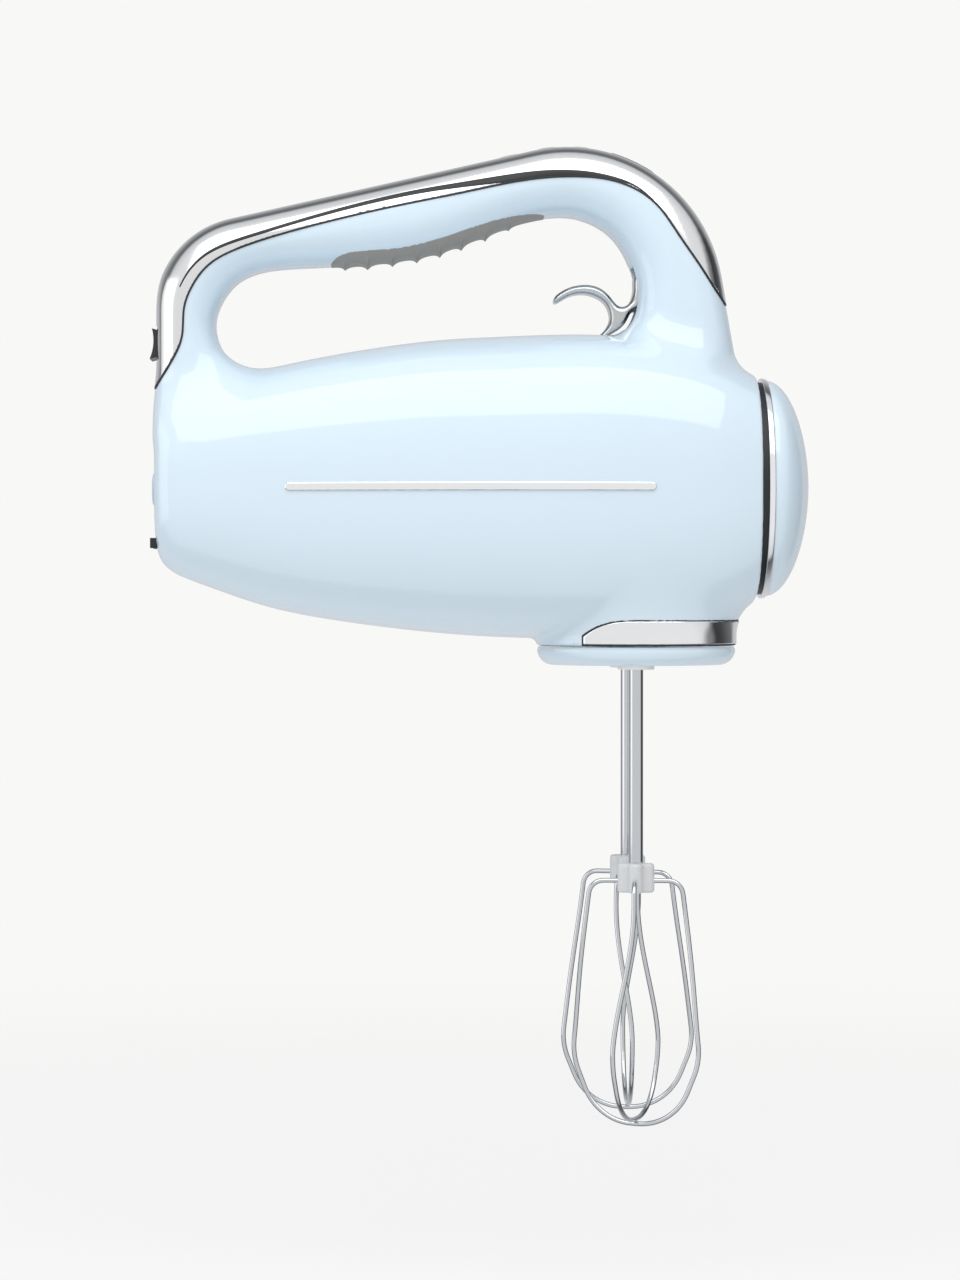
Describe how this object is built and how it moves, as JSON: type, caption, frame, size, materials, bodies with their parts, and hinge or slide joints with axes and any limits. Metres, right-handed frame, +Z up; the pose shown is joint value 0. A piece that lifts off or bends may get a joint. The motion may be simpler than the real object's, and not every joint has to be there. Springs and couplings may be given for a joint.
{
  "type": "hand mixer",
  "caption": "Hand mixer with ring handle, worm gear drive, release trigger and pull-out wire beaters",
  "frame": {"origin": "centre of the grip, where the hand holds the mixer", "axes": "+X to the nose, +Y to the right-hand side, +Z up, away from the beaters"},
  "size_m": [0.2273, 0.0918, 0.3377],
  "materials": {
    "body_gloss": "pastel blue, high gloss",
    "chrome": "polished",
    "band_steel": "polished",
    "seal_black": "satin",
    "grip_rubber": "matt, scalloped",
    "display_glass": "dark, high gloss",
    "board_green": "satin",
    "gland_plastic": "satin",
    "feet_rubber": "matt",
    "screw_steel": "zinc plated",
    "core_steel": "laminated",
    "copper": "varnished copper wire",
    "bracket_metal": "die cast",
    "bearing_steel": "ground",
    "brush_brass": "pressed",
    "carbon": "graphite",
    "gear_white": "acetal",
    "gearbox_grey": "glass-filled nylon",
    "bush_pale": "acetal",
    "spring_steel": "spring wire",
    "fan_black": "moulded",
    "beater_steel": "polished stainless",
    "hub_plastic": "satin",
    "switch_dark": "satin",
    "button_dark": "satin"
  },
  "bodies": {
    "root": {"left_housing": "body_gloss", "right_housing": "body_gloss", "bottom_cover": "body_gloss", "nose_cap": "body_gloss", "top_trim": "chrome", "nose_ring": "chrome", "accent_bars": "chrome", "collar_band": "band_steel", "trim_seal": "seal_black", "nose_gasket": "seal_black", "grip_insert": "grip_rubber", "display_window": "display_glass", "control_board": "board_green", "power_board": "board_green", "cord_gland": "gland_plastic", "rear_feet": "feet_rubber", "housing_screws": "screw_steel", "stator_core": "core_steel", "stator_windings": "copper", "front_bracket": "bracket_metal", "rear_bracket": "bracket_metal", "motor_bearings": "bearing_steel", "trigger_pin": "bearing_steel", "brush_holders": "brush_brass", "carbon_brushes": "carbon", "gearbox_base": "gearbox_grey", "gearbox_cover": "gearbox_grey", "ejector_spring": "spring_steel", "spindle_bushes": "bush_pale"},
    "rotor": {"armature_core": "core_steel", "armature_winding": "copper", "commutator": "copper", "cooling_fan": "fan_black", "motor_shaft": "bearing_steel"},
    "spindle_left": {"spindle_left": "bearing_steel", "worm_wheel_left": "gear_white"},
    "spindle_right": {"spindle_right": "bearing_steel", "worm_wheel_right": "gear_white"},
    "knockout_left": {"knockout_pin_left": "bearing_steel"},
    "knockout_right": {"knockout_pin_right": "bearing_steel"},
    "beater_left": {"beater_shaft_left": "beater_steel", "beater_hub_left": "hub_plastic", "beater_wires_left": "beater_steel"},
    "beater_right": {"beater_shaft_right": "beater_steel", "beater_hub_right": "hub_plastic", "beater_wires_right": "beater_steel"},
    "trigger": {"release_trigger": "chrome"},
    "ejector": {"ejector_plate": "gearbox_grey"},
    "switch": {"power_switch": "switch_dark"},
    "turbo": {"turbo_button": "button_dark"},
    "speed_down": {"speed_down_button": "button_dark"},
    "speed_up": {"speed_up_button": "button_dark"}
  },
  "joints": [
    {"name": "motor_spin", "type": "hinge", "parent": "root", "child": "rotor", "pos_m": [0, 0, -0.098], "axis": [1, 0, 0], "continuous": true},
    {"name": "spindle_left_spin", "type": "hinge", "parent": "root", "child": "spindle_left", "pos_m": [0.0678, -0.019, -0.098], "axis": [0, 0, 1], "continuous": true},
    {"name": "spindle_right_spin", "type": "hinge", "parent": "root", "child": "spindle_right", "pos_m": [0.0678, 0.019, -0.098], "axis": [0, 0, 1], "continuous": true},
    {"name": "trigger_pull", "type": "hinge", "parent": "root", "child": "trigger", "pos_m": [0.076, 0, -0.032], "axis": [0, 1, 0], "range_deg": [0, 18], "stiffness_Nm_per_rad": 0.6, "springref_deg": -8.59},
    {"name": "ejector_slide", "type": "slide", "parent": "root", "child": "ejector", "axis": [0, 0, -1], "range_m": [0, 0.005], "deforming": ["ejector_spring"]},
    {"name": "knockout_left_slide", "type": "slide", "parent": "spindle_left", "child": "knockout_left", "axis": [0, 0, -1], "range_m": [0, 0.005]},
    {"name": "knockout_right_slide", "type": "slide", "parent": "spindle_right", "child": "knockout_right", "axis": [0, 0, -1], "range_m": [0, 0.005]},
    {"name": "beater_left_pull", "type": "slide", "parent": "knockout_left", "child": "beater_left", "axis": [0, 0, -1], "range_m": [0, 0.048]},
    {"name": "beater_right_pull", "type": "slide", "parent": "knockout_right", "child": "beater_right", "axis": [0, 0, -1], "range_m": [0, 0.048]},
    {"name": "power_rocker", "type": "hinge", "parent": "root", "child": "switch", "pos_m": [-0.094, 0, -0.04565], "axis": [0, 1, 0], "range_deg": [-5, 5]},
    {"name": "turbo_press", "type": "slide", "parent": "root", "child": "turbo", "axis": [0, 0, -1], "range_m": [0, 0.001], "stiffness_N_per_m": 400, "springref_m": -0.001},
    {"name": "speed_down_press", "type": "slide", "parent": "root", "child": "speed_down", "axis": [0, 0, -1], "range_m": [0, 0.001], "stiffness_N_per_m": 400, "springref_m": -0.001},
    {"name": "speed_up_press", "type": "slide", "parent": "root", "child": "speed_up", "axis": [0, 0, -1], "range_m": [0, 0.001], "stiffness_N_per_m": 400, "springref_m": -0.001}
  ],
  "couplings": [
    {"joint": "spindle_left_spin", "follows": "motor_spin", "ratio": 0.033333},
    {"joint": "spindle_right_spin", "follows": "motor_spin", "ratio": -0.033333},
    {"joint": "ejector_slide", "follows": "trigger_pull", "m_per_rad": 0.015915},
    {"joint": "knockout_left_slide", "follows": "trigger_pull", "m_per_rad": 0.015915},
    {"joint": "knockout_right_slide", "follows": "trigger_pull", "m_per_rad": 0.015915}
  ]
}
